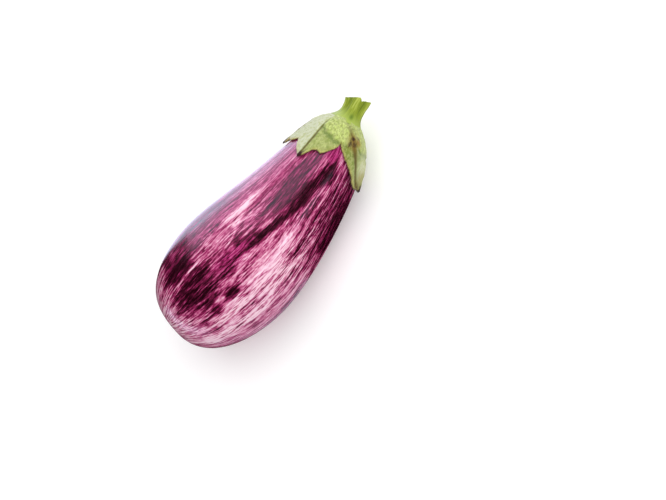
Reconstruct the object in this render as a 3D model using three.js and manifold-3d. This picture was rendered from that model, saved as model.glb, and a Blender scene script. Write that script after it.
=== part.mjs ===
// A striped eggplant as picked, lying on its side: the fruit, its green calyx and the cut stem.
// Millimetres, +Z up. The fruit's length runs along X, with the stem towards +X, and it rests on z = 0.
import * as THREE from "three";
import { mergeVertices } from "three/addons/utils/BufferGeometryUtils.js";
import Module from "manifold-3d";

const wasm = await Module();
wasm.setup();

// The fruit's driving sizes. Distances along it are counted from the blossom end.
const FRUIT_LENGTH = 172;
const BELLY_RADIUS = 41;
const BELLY_AT = 54.5;
// How blunt the blossom end is: 0.5 would be an ellipse, and less is blunter.
const BLOSSOM_BLUNTNESS = 0.36;
// The neck's radius as a share of the belly's, how early it narrows (1 is a plain cosine), and how late
// its shoulder turns in.
const NECK_SHARE = 0.61;
const NECK_ONSET = 0.9;
const SHOULDER_POWER = 7;
// The fruit is bowed a little: the middle of its bow, and how far its ends come up.
const BOW_AT = 93;
const BOW_REACH = 87;
const BOW_HEIGHT = 8.2;
// The stem grows a little off the middle of the shoulder, on the inside of the bow.
const HUB_SHIFT = 2.2;
const HUB_SHIFT_FROM = 150;
// Shallow lengthwise furrows, deepest at the shoulder.
const FURROWS = [
  { count: 3, height: 0.5, turned: 0.6 },
  { count: 5, height: 0.28, turned: 2.1 },
];
const FURROWS_AT_BELLY = 0.5;
const FURROWS_AT_SHOULDER = 1.4;
// The small corky scar that the flower left: a shallow dimple.
const SCAR_RADIUS = 3.2;
const SCAR_DEPTH = 0.9;

// How it lies: turned about its length, dipped a little towards the stem, on a small flattened spot.
const ROLL_DEG = 27;
const DIP_DEG = 6.8;
const AXIS_HEIGHT = 38.4;
const REST_SPOT_AT = 75;

// The calyx: five sepals grown together into a cap over the shoulder.
const SKIN_GAP = 0.3;
const CAP_THICKNESS = 2.4;
const EDGE_THICKNESS = 1.1;
const KEEL_HEIGHT = 1.5;
const KEEL_HALF_WIDTH = 4.2;
// On the way from the stem to the edge: where the cap has thinned to the sepals' thickness, from where to
// where the keels rise and the sepals lift, and how much lower the keels are at the edge.
const CAP_THINS_BY = 0.77;
const KEEL_RISES = [0.33, 0.67];
const KEEL_FALLS = 0.5;
const SEPAL_LIFTS = [0.28, 0.83];
// How much a sepal's lift keeps to its middle, and how close to the tip its ridge turns to the middle.
const LIFT_POWER = 1.5;
const RIDGE_POWER = 10;
// How full the sepals are: 1 would give them straight sides, and less makes them bulge.
const SEPAL_FULLNESS = 0.8;
// Round the calyx's edge: tip, notch, tip and so on. root and edge are degrees round the fruit, at the
// stem and at the edge, and at is where the edge stands along the fruit. bay is how far the stretch of
// edge after it curves in near the tip, or bulges out where it is negative. lift is how far a sepal's
// middle stands off the skin, and keel is how many degrees its ridge runs to the side of its middle.
const CALYX_EDGE = [
  { root: 42, edge: 33, at: 135.5, bay: 0, tip: true, lift: 0.8, keel: 2 },
  { root: 75, edge: 61, at: 146.5, bay: 3, tip: false },
  { root: 108, edge: 97, at: 136.5, bay: 1, tip: true, lift: 0.7, keel: -4 },
  { root: 140, edge: 133, at: 149, bay: 1.5, tip: false },
  { root: 175, edge: 168, at: 137, bay: 0.5, tip: true, lift: 1.4, keel: 3 },
  { root: 213, edge: 205, at: 153, bay: 2, tip: false },
  { root: 250, edge: 236, at: 140, bay: 1, tip: true, lift: 1.2, keel: -3 },
  { root: 284, edge: 258, at: 150, bay: 0.5, tip: false },
  { root: 322, edge: 289, at: 138, bay: -3, tip: true, lift: 3.6, keel: 30 },
  { root: 363, edge: 352, at: 157, bay: 5, tip: false },
];
// Where a bay is deepest and its half width, as shares of the way from a notch to a tip.
const BAY_AT = 0.72;
const BAY_WIDTH = 0.17;

// The stem: a stout ribbed stalk, cut off short.
const STEM_LENGTH = 11.8;
const STEM_RADIUS = 7;
// Its foot spreads over the calyx to this radius, in a curve that reaches this share of the stem.
const STEM_FOOT_RADIUS = 10.2;
const STEM_FOOT_SHARE = 0.42;
const STEM_CUT_RADIUS = 7.4;
const STEM_BEND = 0.7;
const STEM_RIBS = 5;
const RIB_HEIGHT = 0.55;
// From where to where along the stem the ribs rise, its end widens and the torn cut starts.
const RIBS_RISE = [0, 0.25];
const END_WIDENS = [0.5, 1];
const CUT_STARTS = [0.6, 1];
const CUT_SLANT = 0.14;
const CUT_DISH = 0.8;
// The cut is torn a little: how far it rises over its plane, from the outside of the bow to the inside.
const CUT_PROFILE = [
  { across: -7.4, rise: 0.9 },
  { across: -3.4, rise: 0.5 },
  { across: -2.6, rise: -0.3 },
  { across: -0.6, rise: 2.1 },
  { across: 1.5, rise: 1.8 },
  { across: 7.4, rise: -0.4 },
];

// How finely each piece is faceted.
const FRUIT_COLUMNS = 56;
const FRUIT_ROWS = 40;
const BELLY_SHARE = 0.42;
const BLOSSOM_ROW_POWER = 1.4;
const COLUMNS_PER_EDGE = 10;
const CALYX_ROWS = 24;
const STEM_COLUMNS = 30;
const STEM_ROWS = 22;
const CUT_ROWS = 5;
const FOOT_ROWS = 4;
// The share of a row or a turn that stands for a slope, and how near two vertices are one.
const SMALL_STEP = 1e-3;
const SAME_WITHIN = 1e-4;

const clamp = (value) => Math.min(1, Math.max(0, value));
const mix = (from, to, share) => from + (to - from) * share;
const smooth = (value) => clamp(value) ** 2 * (3 - 2 * clamp(value));
const rise = (value, [from, to]) => smooth((value - from) / (to - from));
const radians = (degrees) => (degrees * Math.PI) / 180;

// The fruit's radius at a distance from the blossom end.
function fruitRadius(at) {
  if (at < BELLY_AT) {
    const inward = 1 - clamp(at / BELLY_AT);
    return BELLY_RADIUS * (1 - inward ** 2) ** BLOSSOM_BLUNTNESS;
  }
  const up = clamp((at - BELLY_AT) / (FRUIT_LENGTH - BELLY_AT));
  const neck = mix(1, NECK_SHARE, (1 - Math.cos(Math.PI * up ** NECK_ONSET)) / 2);
  return BELLY_RADIUS * neck * Math.sqrt(1 - up ** SHOULDER_POWER);
}

// The distance at which the fruit's shoulder has narrowed to a radius.
function shoulderAt(radius) {
  const up = (1 - (radius / (BELLY_RADIUS * NECK_SHARE)) ** 2) ** (1 / SHOULDER_POWER);
  return mix(BELLY_AT, FRUIT_LENGTH, up);
}

// How far the fruit's middle line stands off the straight line, and how steeply it climbs.
function bow(at) {
  const hub = HUB_SHIFT * rise(at, [HUB_SHIFT_FROM, FRUIT_LENGTH]);
  return BOW_HEIGHT * ((at - BOW_AT) / BOW_REACH) ** 2 + hub;
}

function bowSlope(at) {
  return (2 * BOW_HEIGHT * (at - BOW_AT)) / BOW_REACH ** 2;
}

// A point at a radius and turn about the middle line. Turn 0 faces +Z, and a quarter turn faces +Y, the
// inside of the bow.
function aboutMiddle(at, radius, turn) {
  const lean = Math.atan(bowSlope(at));
  const up = radius * Math.sin(turn);
  return new THREE.Vector3(
    at - up * Math.sin(lean),
    bow(at) + up * Math.cos(lean),
    radius * Math.cos(turn),
  );
}

// Share 0 is the blossom end, BELLY_SHARE the belly, and 1 the middle of the shoulder. Rows are spaced
// so that both ends are as finely faceted as the sides.
function alongFruit(share) {
  if (share < BELLY_SHARE) {
    const climb = (Math.PI / 2) * (share / BELLY_SHARE) ** BLOSSOM_ROW_POWER;
    return BELLY_AT * (1 - Math.cos(climb));
  }
  return mix(BELLY_AT, FRUIT_LENGTH, Math.sin((Math.PI / 2) * ((share - BELLY_SHARE) / (1 - BELLY_SHARE))));
}

function shareOf(at) {
  const sine = clamp((at - BELLY_AT) / (FRUIT_LENGTH - BELLY_AT));
  return mix(BELLY_SHARE, 1, Math.asin(sine) / (Math.PI / 2));
}

function furrow(at, turn) {
  const deep = mix(FURROWS_AT_BELLY, FURROWS_AT_SHOULDER, rise(at, [BELLY_AT, FRUIT_LENGTH]));
  const fade = smooth(at / BELLY_AT) * smooth(fruitRadius(at) / (NECK_SHARE * BELLY_RADIUS));
  return FURROWS.reduce((sum, f) => sum + f.height * Math.cos(f.count * turn + f.turned), 0) * deep * fade;
}

function fruitPoint(share, turn) {
  const at = alongFruit(share);
  const radius = fruitRadius(at);
  const point = aboutMiddle(at, radius + furrow(at, turn), turn);
  if (share < BELLY_SHARE) point.x += SCAR_DEPTH * Math.exp(-((radius / SCAR_RADIUS) ** 2));
  return point;
}

// A point above the fruit's skin by a height, square to the skin.
function abovePoint(share, turn, height) {
  const inner = Math.min(share, 1 - SMALL_STEP);
  const along = fruitPoint(inner, turn).sub(fruitPoint(inner - SMALL_STEP, turn));
  const round = fruitPoint(inner, turn + SMALL_STEP).sub(fruitPoint(inner, turn - SMALL_STEP));
  const out = share > 1 - SMALL_STEP ? new THREE.Vector3(1, bowSlope(FRUIT_LENGTH), 0) : along.cross(round);
  return fruitPoint(share, turn).addScaledVector(out.normalize(), height);
}

// One closed body from a sphere's net: each vertex goes to pointAt(round, down), where round is the share
// of a turn and down runs from 0 at one pole to 1 at the other.
function body(columns, rows, pointAt) {
  const geometry = new THREE.SphereGeometry(1, columns, rows);
  const { position, uv } = geometry.attributes;
  for (let i = 0; i < position.count; i += 1) {
    const down = 1 - uv.getY(i);
    const pole = down < SAME_WITHIN || down > 1 - SAME_WITHIN;
    const point = pointAt(pole ? 0 : uv.getX(i) % 1, down);
    position.setXYZ(i, point.x, point.y, point.z);
  }
  geometry.deleteAttribute("uv");
  geometry.deleteAttribute("normal");
  return mergeVertices(geometry, SAME_WITHIN).applyMatrix4(lying());
}

// From the fruit as it grew, along X, to the fruit as it lies.
function lying() {
  const turned = new THREE.Matrix4().makeRotationX(radians(ROLL_DEG));
  const dipped = new THREE.Matrix4().makeRotationY(radians(DIP_DEG));
  const centred = new THREE.Matrix4().makeTranslation(-REST_SPOT_AT, 0, 0);
  const raised = new THREE.Matrix4().makeTranslation(0, 0, AXIS_HEIGHT);
  return raised.multiply(dipped).multiply(turned).multiply(centred);
}

function solid(geometry) {
  return new wasm.Manifold(
    new wasm.Mesh({
      numProp: 3,
      vertProperties: Float32Array.from(geometry.attributes.position.array),
      triVerts: Uint32Array.from(geometry.index.array),
    }),
  );
}

function geometryOf(manifold) {
  const { vertProperties, triVerts } = manifold.getMesh();
  return new THREE.BufferGeometry()
    .setAttribute("position", new THREE.BufferAttribute(vertProperties, 3))
    .setIndex(new THREE.BufferAttribute(triVerts, 1));
}

// The fruit, with its small flattened rest spot cut level with z = 0.
function makeFruit() {
  const whole = body(FRUIT_COLUMNS, FRUIT_ROWS, (round, down) => fruitPoint(down, 2 * Math.PI * round));
  const table = new THREE.BoxGeometry(2 * FRUIT_LENGTH, 4 * BELLY_RADIUS, BELLY_RADIUS);
  table.translate(0, 0, -BELLY_RADIUS / 2);
  table.deleteAttribute("uv");
  table.deleteAttribute("normal");
  return geometryOf(solid(whole).subtract(solid(mergeVertices(table))));
}

// The stretch of the calyx's edge at a share of a turn round it: where it is, and the sepal's tip there.
function edgeStretch(round) {
  const stretch = round * CALYX_EDGE.length;
  const index = Math.floor(stretch) % CALYX_EDGE.length;
  const here = CALYX_EDGE[index];
  const after = CALYX_EDGE[(index + 1) % CALYX_EDGE.length];
  const wrap = index + 1 === CALYX_EDGE.length ? 360 : 0;
  const next = { ...after, root: after.root + wrap, edge: after.edge + wrap };
  const share = stretch - Math.floor(stretch);
  const [tip, notch] = here.tip ? [here, next] : [next, here];
  // 1 on a sepal's middle, 0 in a notch
  const rib = here.tip ? 1 - share : share;
  const bay = here.bay * Math.exp(-(((rib - BAY_AT) / BAY_WIDTH) ** 2));
  return {
    root: mix(here.root, next.root, share),
    edge: mix(here.edge, next.edge, share),
    at: mix(notch.at, tip.at, rib ** SEPAL_FULLNESS) + bay,
    rib,
    tip,
  };
}

// The turn in degrees of a sepal's ridge, which meets the sepal's middle at its tip.
function ridgeTurn(tip, out) {
  return mix(tip.root, tip.edge, smooth(out)) + tip.keel * (1 - out ** RIDGE_POWER);
}

// A point of the calyx: out runs from 0 at the stem to 1 at the edge, and top is true for its outer side.
function calyxPoint(round, out, top) {
  const { root, edge, at, rib, tip } = edgeStretch(round);
  const share = mix(1, shareOf(at), out);
  const turn = mix(root, edge, smooth(out));
  const fromRidge = Math.abs(radians(turn - ridgeTurn(tip, out))) * fruitRadius(alongFruit(share));
  const ridge = Math.exp(-fromRidge / KEEL_HALF_WIDTH) * rise(out, KEEL_RISES) * (1 - KEEL_FALLS * out);
  const thickness = mix(CAP_THICKNESS, EDGE_THICKNESS, rise(out, [0, CAP_THINS_BY])) + KEEL_HEIGHT * ridge;
  const atEdge = out === 1 ? 0.5 : 1;
  const low = SKIN_GAP + tip.lift * rib ** LIFT_POWER * rise(out, SEPAL_LIFTS);
  return abovePoint(share, radians(turn), top ? low + thickness * atEdge : low + thickness * (1 - atEdge));
}

function makeCalyx() {
  const columns = CALYX_EDGE.length * COLUMNS_PER_EDGE;
  return body(columns, CALYX_ROWS, (round, down) => {
    const top = down <= 0.5;
    const out = top ? down * 2 : 2 - down * 2;
    return calyxPoint(1 - round, Math.min(1, out), top);
  });
}

// The stem's middle line from its foot to its cut, leaning towards the inside of the bow.
function stemMiddle(up) {
  const foot = abovePoint(1, 0, SKIN_GAP + CAP_THICKNESS);
  const along = new THREE.Vector3(1, bowSlope(FRUIT_LENGTH), 0).normalize();
  return foot.addScaledVector(along, STEM_LENGTH * up).add(new THREE.Vector3(0, STEM_BEND * up ** 2, 0));
}

function stemRadius(up, turn) {
  const end = (STEM_CUT_RADIUS - STEM_RADIUS) * rise(up, END_WIDENS);
  return STEM_RADIUS + end + RIB_HEIGHT * Math.cos(STEM_RIBS * turn) * rise(up, RIBS_RISE);
}

// How far the torn cut rises at a place across the stem, straight from point to point.
function cutRise(across) {
  const next = CUT_PROFILE.findIndex((place) => place.across >= across);
  if (next <= 0) return CUT_PROFILE.at(next).rise;
  const [before, after] = CUT_PROFILE.slice(next - 1, next + 1);
  return mix(before.rise, after.rise, (across - before.across) / (after.across - before.across));
}

// A point of the stem's side, or of its cut where inward is under 1.
function stemPoint(up, turn, inward = 1) {
  const middle = stemMiddle(up);
  const radius = stemRadius(up, turn) * inward;
  const lean = Math.atan(bowSlope(FRUIT_LENGTH) + (2 * STEM_BEND * up) / STEM_LENGTH);
  const high = radius * Math.sin(turn);
  const sunk = CUT_SLANT * high * rise(up, END_WIDENS) + CUT_DISH * (1 - inward ** 2);
  const risen = cutRise(high) * rise(up, CUT_STARTS) - sunk;
  return middle.add(
    new THREE.Vector3(risen - high * Math.sin(lean), high * Math.cos(lean), radius * Math.cos(turn)),
  );
}

// The stem's underside stands on the calyx, with the same gap as between the calyx and the skin.
function stemFoot(turn, inward) {
  const share = mix(1, shareOf(shoulderAt(STEM_FOOT_RADIUS)), inward);
  return abovePoint(share, turn, 2 * SKIN_GAP + CAP_THICKNESS);
}

// A point of the stem's side, which spreads at its foot in one curve over the dome of the calyx.
function stemSide(up, turn) {
  if (up >= STEM_FOOT_SHARE) return stemPoint(up, turn);
  const share = up / STEM_FOOT_SHARE;
  return stemFoot(turn, 1)
    .multiplyScalar((1 - share) ** 2)
    .addScaledVector(stemPoint(0, turn), 2 * share * (1 - share))
    .addScaledVector(stemPoint(STEM_FOOT_SHARE, turn), share ** 2);
}

function makeStem() {
  const cut = CUT_ROWS / STEM_ROWS;
  const foot = 1 - FOOT_ROWS / STEM_ROWS;
  return body(STEM_COLUMNS, STEM_ROWS, (round, down) => {
    const turn = -2 * Math.PI * round;
    if (down < cut) return stemPoint(1, turn, down / cut);
    if (down > foot) return stemFoot(turn, (1 - down) / (1 - foot));
    return stemSide((foot - down) / (foot - cut), turn);
  });
}

const materials = {
  skin: new THREE.MeshStandardMaterial({ color: 0x7a2458, roughness: 0.28, metalness: 0 }),
  calyx: new THREE.MeshStandardMaterial({ color: 0xa9bf6a, roughness: 0.75, metalness: 0 }),
  stem: new THREE.MeshStandardMaterial({ color: 0x8fae2b, roughness: 0.6, metalness: 0 }),
};

function named(name, geometry, material) {
  geometry.computeVertexNormals();
  const mesh = new THREE.Mesh(geometry, material);
  mesh.name = name;
  return mesh;
}

const eggplant = new THREE.Group();
eggplant.add(
  named("fruit", makeFruit(), materials.skin),
  named("calyx", makeCalyx(), materials.calyx),
  named("stem", makeStem(), materials.stem),
);

export default eggplant;
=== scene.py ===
"""A striped eggplant as picked, lying on its side: its skin, calyx and stem, and a plain studio."""
import math
import random
from collections import namedtuple

import bmesh
import bpy
import numpy as np
from mathutils import Matrix, Vector, noise


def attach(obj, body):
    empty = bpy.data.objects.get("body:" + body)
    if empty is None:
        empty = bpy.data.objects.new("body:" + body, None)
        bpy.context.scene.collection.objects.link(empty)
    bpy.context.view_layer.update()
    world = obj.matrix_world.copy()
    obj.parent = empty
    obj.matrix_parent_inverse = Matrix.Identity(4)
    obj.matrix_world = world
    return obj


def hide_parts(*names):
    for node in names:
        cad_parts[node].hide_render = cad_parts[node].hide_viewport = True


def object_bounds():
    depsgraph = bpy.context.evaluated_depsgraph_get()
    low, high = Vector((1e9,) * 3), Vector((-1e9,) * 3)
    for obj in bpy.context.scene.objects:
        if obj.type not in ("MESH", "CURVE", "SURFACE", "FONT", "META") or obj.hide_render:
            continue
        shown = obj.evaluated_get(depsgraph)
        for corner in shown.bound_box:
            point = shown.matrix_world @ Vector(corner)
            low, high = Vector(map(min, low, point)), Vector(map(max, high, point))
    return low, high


bl_info = {
    "name": "Striped Eggplant",
    "version": (1, 0, 0),
    "blender": (4, 5, 0),
    "location": "3D View > Sidebar > Eggplant",
    "description": "Makes a striped eggplant's fruit, calyx and stem, and a plain studio to see them in",
    "category": "Add Mesh",
}

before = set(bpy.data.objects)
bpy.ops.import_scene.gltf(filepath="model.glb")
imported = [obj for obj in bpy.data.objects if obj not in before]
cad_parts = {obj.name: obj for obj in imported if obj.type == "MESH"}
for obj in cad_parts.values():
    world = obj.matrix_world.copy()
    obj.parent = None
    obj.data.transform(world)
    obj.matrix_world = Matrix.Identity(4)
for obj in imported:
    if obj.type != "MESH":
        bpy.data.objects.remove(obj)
CAD_LOW, CAD_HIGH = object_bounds()
MM = 0.001
# Shares this close are the same.
SAME_WITHIN = 1e-6

# The photograph's picture, in pixels.
PICTURE_WIDTH = 666
PICTURE_HEIGHT = 500


def colour(code):
    """A linear colour from an sRGB hex value."""
    parts = [int(code[i:i + 2], 16) / 255 for i in (1, 3, 5)]
    linear = [p / 12.92 if p <= 0.04045 else ((p + 0.055) / 1.055) ** 2.4 for p in parts]
    return (*linear, 1.0)


def clamp(value):
    return np.clip(value, 0.0, 1.0)


def mix(start, end, share):
    return start + (end - start) * share


def smooth(value):
    value = clamp(value)
    return value * value * (3 - 2 * value)


def rise(value, start, end):
    """From 0 at start to 1 at end, with soft ends."""
    return smooth((value - start) / (end - start))


def spike(value, width):
    """1 where value is 0, and next to nothing past twice the width on either side."""
    return np.exp(-((value / width) ** 2))


def wave(*axes):
    """Smooth unevenness from -1 to 1 at each place, the same each run."""
    places = np.stack(np.broadcast_arrays(*axes), axis=-1)
    return np.array([noise.noise(place) for place in places.tolist()])


def size_property(name, text, metres):
    return bpy.props.FloatProperty(name=name, description=text, default=metres, unit="LENGTH")


def share_property(name, text, share):
    return bpy.props.FloatProperty(name=name, description=text, default=share)


def angle_property(name, text, degrees):
    return bpy.props.FloatProperty(
        name=name, description=text, default=math.radians(degrees), subtype="ANGLE", unit="ROTATION"
    )


def colour_property(name, text, code):
    return bpy.props.FloatVectorProperty(
        name=name, description=text, default=colour(code), size=4, subtype="COLOR", min=0, max=1
    )


class FruitSettings(bpy.types.PropertyGroup):
    """Sizes of the fruit, measured along it from its blossom end, and the colours of its skin."""

    length: size_property("Length", "From the blossom end to the middle of the shoulder", 172 * MM)
    belly_radius: size_property("Belly radius", "Half of the greatest width", 41 * MM)
    belly_at: size_property("Belly at", "Where the fruit is widest", 54.5 * MM)
    bluntness: share_property("Bluntness", "0.5 is an ellipse, and less is a blunter blossom end", 0.36)
    neck_share: share_property("Neck", "The neck's radius as a share of the belly's", 0.61)
    neck_onset: share_property("Neck onset", "How early the fruit narrows: 1 is a plain cosine", 0.9)
    shoulder_power: share_property("Shoulder", "How late the shoulder turns in", 7)
    bow_at: size_property("Bow at", "The middle of the fruit's slight bow", 93 * MM)
    bow_reach: size_property("Bow reach", "How far from its middle the bow reaches its height", 87 * MM)
    bow_height: size_property("Bow height", "How far the ends come up", 8.2 * MM)
    hub_shift: size_property("Hub shift", "How far the stem is off the shoulder's middle", 2.2 * MM)
    hub_shift_from: size_property("Hub shift from", "Where the shoulder starts to lean", 150 * MM)
    scar_radius: size_property("Scar radius", "Half width of the dimple round the blossom scar", 3.2 * MM)
    scar_depth: size_property("Scar depth", "Depth of the dimple", 0.9 * MM)
    roll: angle_property("Roll", "How far the fruit is turned about its length", 27)
    dip: angle_property("Dip", "How far its stem end leans down", 6.8)
    axis_height: size_property("Axis height", "Height of its middle line over the rest spot", 38.4 * MM)
    rest_spot_at: size_property("Rest spot at", "Where along the fruit it rests", 75 * MM)
    unevenness: size_property("Unevenness", "Height of the skin's faint unevenness", 0.22 * MM)
    black: colour_property("Black plum", "The darkest stripes", "#22000A")
    plum: colour_property("Plum", "Dark stripes", "#410720")
    magenta: colour_property("Magenta", "Middle stripes", "#761240")
    rose: colour_property("Rose", "Light stripes", "#A63A6B")
    pink: colour_property("Pink", "Pale flecks", "#C87093")
    blush: colour_property("Blush", "Paler flecks", "#DDA0B8")
    cream: colour_property("Cream", "The palest flecks and the blossom end", "#EECAD8")


class CalyxSettings(bpy.types.PropertyGroup):
    """Sizes and colours of the calyx."""

    skin_gap: size_property("Skin gap", "Gap between the calyx and the skin", 0.3 * MM)
    cap_thickness: size_property("Cap thickness", "Thickness round the stem", 2.4 * MM)
    edge_thickness: size_property("Edge thickness", "Thickness of the sepals near their edge", 1.1 * MM)
    keel_height: size_property("Keel height", "Height of the ridge along each sepal", 1.5 * MM)
    keel_half_width: size_property("Keel half width", "Half width of that ridge", 4.2 * MM)
    fullness: share_property("Fullness", "1 is a straight-sided sepal, and less is fuller", 0.8)
    crown_height: size_property("Crown height", "How far the crown round the stem swells", 0.55 * MM)
    wrinkle_height: size_property("Wrinkle height", "Height of the wrinkles and side veins", 0.3 * MM)
    ragged: size_property("Ragged edge", "How uneven the sepals' edges are", 0.7 * MM)
    crown: colour_property("Crown", "Fresh green round the stem", "#B6C56B")
    leaf: colour_property("Leaf", "Green of the sepals", "#84923A")
    # Pale serves both painted light, which makes the lit half of a sepal whitish, and the real cream of its
    # dried places.
    pale: colour_property("Pale", "Whitish green of the sepals' pale halves", "#C3C7A4")
    olive: colour_property("Olive", "Creases and veins", "#5E741A")
    dry: colour_property("Dry", "Dried tips and edges", "#32160A")
    rust: colour_property("Rust", "Half-dried patches", "#8A6A1C")


class StemSettings(bpy.types.PropertyGroup):
    """Sizes and colours of the cut stem."""

    length: size_property("Length", "From the calyx to the cut", 11.8 * MM)
    radius: size_property("Radius", "Radius of the stem's middle", 7 * MM)
    foot_radius: size_property("Foot radius", "Radius to which its foot spreads", 10.2 * MM)
    foot_share: share_property("Foot share", "The share of the stem in which its foot spreads", 0.42)
    cut_radius: size_property("Cut radius", "Radius at the cut", 7.4 * MM)
    bend: size_property("Bend", "How far the cut stands off the straight line", 0.7 * MM)
    ribs: bpy.props.IntProperty(name="Ribs", description="Ribs round the stem", default=5, min=0)
    rib_height: size_property("Rib height", "Height of the ribs", 0.55 * MM)
    slant: share_property("Slant", "Slope of the cut", 0.14)
    dish: size_property("Dish", "How far the cut face sinks in its middle", 0.8 * MM)
    grain_height: size_property("Grain height", "Height of the fine lengthwise ridges", 0.3 * MM)
    green: colour_property("Green", "Bright green of the ribs", "#86961C")
    groove: colour_property("Groove", "Darker green between the ribs", "#66780F")
    flesh: colour_property("Flesh", "Pale green of the cut face", "#D6D688")
    pith: colour_property("Pith", "Brownish middle of the cut face", "#9C8B4A")


class StudioSettings(bpy.types.PropertyGroup):
    """The camera, the lights and the floor."""

    azimuth: angle_property("Azimuth", "The camera's turn round the eggplant", 22)
    elevation: angle_property("Elevation", "The camera's height over the horizon", 60)
    roll: angle_property("Roll", "The picture's turn, so that the stem points up and right", 71.9)
    distance: size_property("Distance", "From the camera to the eggplant", 1.0)
    aim_height: size_property("Aim height", "Height of the point that the camera was set by", 39.7 * MM)
    aim_x: share_property("Aim x", "That point's pixel across the photograph", 257.7)
    aim_y: share_property("Aim y", "That point's pixel down the photograph", 245.1)
    pixel: size_property("Pixel", "Real size of one pixel at that point", 0.639 * MM)
    room: share_property("Room light", "Brightness of the light from all round", 0.5)
    daylight: colour_property("Daylight", "Tint of what the skin mirrors", "#DCE2FF")
    floor: colour_property("Floor", "The studio table", "#FAFAFA")


class Fruit:
    """The fruit's form, by the same formulas as its solid. Points are arrays of x, y and z."""

    # The blossom end's share of the rows, up to the belly, and how its rows are spaced.
    BELLY_SHARE = 0.42
    BLOSSOM_ROW_POWER = 1.4
    # Shallow lengthwise furrows: how many, how high and how far turned.
    FURROWS = ((3, 0.5 * MM, 0.6), (5, 0.28 * MM, 2.1))
    FURROWS_AT_BELLY = 0.5
    FURROWS_AT_SHOULDER = 1.4
    # The share of a row or a turn that stands for a slope.
    SMALL_STEP = 1e-3

    def __init__(self, sizes):
        self.s = {name: getattr(sizes, name) for name in sizes.__annotations__}
        self.turned = np.array(
            Matrix.Rotation(self.s["dip"], 3, "Y") @ Matrix.Rotation(self.s["roll"], 3, "X")
        )

    def laid(self, points):
        """Points of the fruit as it grew, along X, moved to where they are as it lies."""
        centred = points - (self.s["rest_spot_at"], 0, 0)
        return centred @ self.turned.T + (0, 0, self.s["axis_height"])

    def past_belly(self, at):
        return clamp((at - self.s["belly_at"]) / (self.s["length"] - self.s["belly_at"]))

    def radius(self, at):
        s = self.s
        inward = 1 - clamp(at / s["belly_at"])
        blossom = (1 - inward**2) ** s["bluntness"]
        up = self.past_belly(at)
        neck = mix(1, s["neck_share"], (1 - np.cos(math.pi * up ** s["neck_onset"])) / 2)
        return s["belly_radius"] * blossom * neck * np.sqrt(1 - up ** s["shoulder_power"])

    def shoulder_at(self, radius):
        """The distance at which the shoulder has narrowed to a radius."""
        s = self.s
        up = (1 - (radius / (s["belly_radius"] * s["neck_share"])) ** 2) ** (1 / s["shoulder_power"])
        return mix(s["belly_at"], s["length"], up)

    def bow(self, at):
        s = self.s
        hub = s["hub_shift"] * rise(at, s["hub_shift_from"], s["length"])
        return s["bow_height"] * ((at - s["bow_at"]) / s["bow_reach"]) ** 2 + hub

    def bow_slope(self, at):
        s = self.s
        return 2 * s["bow_height"] * (at - s["bow_at"]) / s["bow_reach"] ** 2

    def along(self, share):
        """Distance from the blossom end for a share of the rows: 0 is that end and 1 the shoulder."""
        s = self.s
        climb = (math.pi / 2) * clamp(share / self.BELLY_SHARE) ** self.BLOSSOM_ROW_POWER
        rest = (math.pi / 2) * clamp((share - self.BELLY_SHARE) / (1 - self.BELLY_SHARE))
        return s["belly_at"] * (1 - np.cos(climb)) + (s["length"] - s["belly_at"]) * np.sin(rest)

    def share_of(self, at):
        return mix(self.BELLY_SHARE, 1, np.arcsin(self.past_belly(at)) / (math.pi / 2))

    def furrow(self, at, turn):
        s = self.s
        deep = mix(self.FURROWS_AT_BELLY, self.FURROWS_AT_SHOULDER, smooth(self.past_belly(at)))
        fade = smooth(at / s["belly_at"]) * smooth(self.radius(at) / (s["neck_share"] * s["belly_radius"]))
        return sum(high * np.cos(count * turn + phase) for count, high, phase in self.FURROWS) * deep * fade

    def point(self, share, turn):
        """Points of the skin, before the fruit is laid down."""
        s = self.s
        at = self.along(share)
        radius = self.radius(at)
        lean = np.arctan(self.bow_slope(at))
        out = radius + self.furrow(at, turn)
        up = out * np.sin(turn)
        scar = np.where(share < self.BELLY_SHARE, s["scar_depth"] * spike(radius, s["scar_radius"]), 0)
        along = at - up * np.sin(lean) + scar
        inward = self.bow(at) + up * np.cos(lean)
        return np.stack((along, inward, out * np.cos(turn)), -1)

    def above(self, share, turn, height):
        """Points above the skin by a height, square to it."""
        step = self.SMALL_STEP
        floats = (np.asarray(value, dtype=float) for value in (share, turn, height))
        share, turn, height = np.broadcast_arrays(*floats)
        inner = np.clip(share, step, 1 - step)
        along = self.point(inner, turn) - self.point(inner - step, turn)
        round_it = self.point(inner, turn + step) - self.point(inner, turn - step)
        out = np.cross(along, round_it)
        out = np.where((share > 1 - step)[..., None], (1, self.bow_slope(self.s["length"]), 0), out)
        out = out / np.linalg.norm(out, axis=-1, keepdims=True)
        return self.point(share, turn) + out * height[..., None]


def sphere_net(columns, rows):
    """A closed net to shape: each vertex starts with its turn, and its row from 0 at one pole to 1."""
    net = bmesh.new()
    bmesh.ops.create_uvsphere(net, u_segments=columns, v_segments=rows, radius=1)
    x, y, z = np.array([tuple(v.co) for v in net.verts]).T
    down = np.round(np.arctan2(np.hypot(x, y), z) / math.pi * rows) / rows
    inside = (down > 0) & (down < 1)
    return net, np.where(inside, np.arctan2(y, x), 0.0), down


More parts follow.
